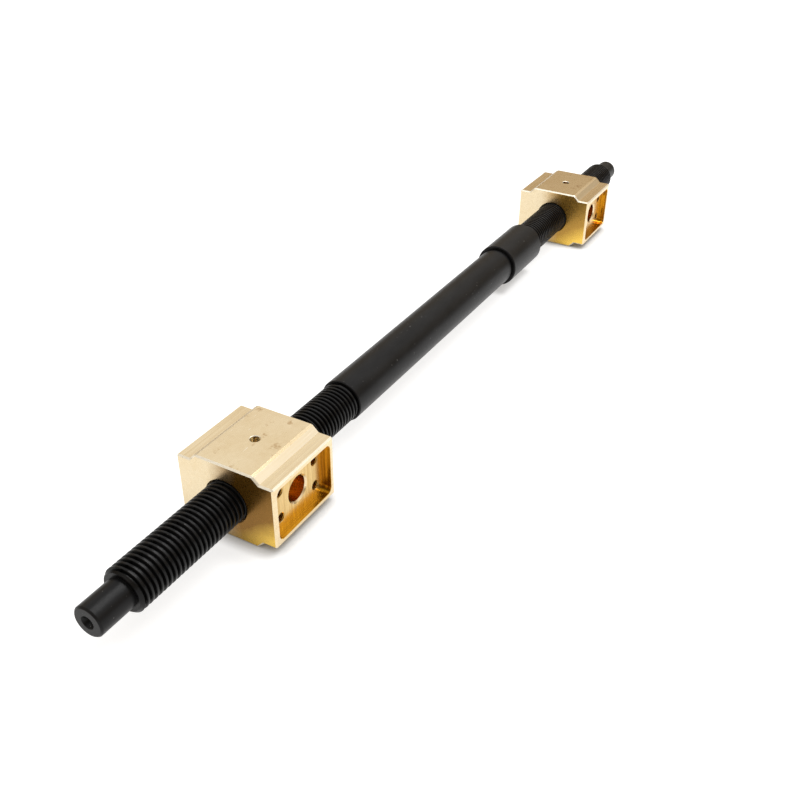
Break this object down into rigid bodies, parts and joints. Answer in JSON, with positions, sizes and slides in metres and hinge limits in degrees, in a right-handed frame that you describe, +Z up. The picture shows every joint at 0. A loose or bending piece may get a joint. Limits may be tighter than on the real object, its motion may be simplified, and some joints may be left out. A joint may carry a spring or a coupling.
{
  "type": "lead screw with two nut blocks",
  "caption": "Long black steel lead screw, threaded at both ends, with a milled bronze nut block on each thread that travels towards or away from the other as the screw turns.",
  "frame": {"origin": "on the ground, under the middle of the screw's length and under its axis", "axes": "+X along the screw from its near end to the end beyond the collar, +Z up, -Y the way the nut pockets face"},
  "size_m": [1.093, 0.098, 0.0734],
  "materials": {
    "blackened_steel": "black oxide, satin, lightly oiled",
    "bronze": "fine milled, satin"
  },
  "bodies": {
    "screw": {"screw_shaft": "blackened_steel"},
    "near_nut": {"near_nut": "bronze"},
    "far_nut": {"far_nut": "bronze"}
  },
  "joints": [
    {"name": "near_nut_travel", "type": "slide", "parent": "screw", "child": "near_nut", "axis": [1, 0, 0], "range_m": [-0.102, 0.085]},
    {"name": "far_nut_travel", "type": "slide", "parent": "screw", "child": "far_nut", "axis": [1, 0, 0], "range_m": [-0.085, 0.102]}
  ],
  "couplings": [
    {"joint": "far_nut_travel", "follows": "near_nut_travel", "ratio": -1}
  ]
}
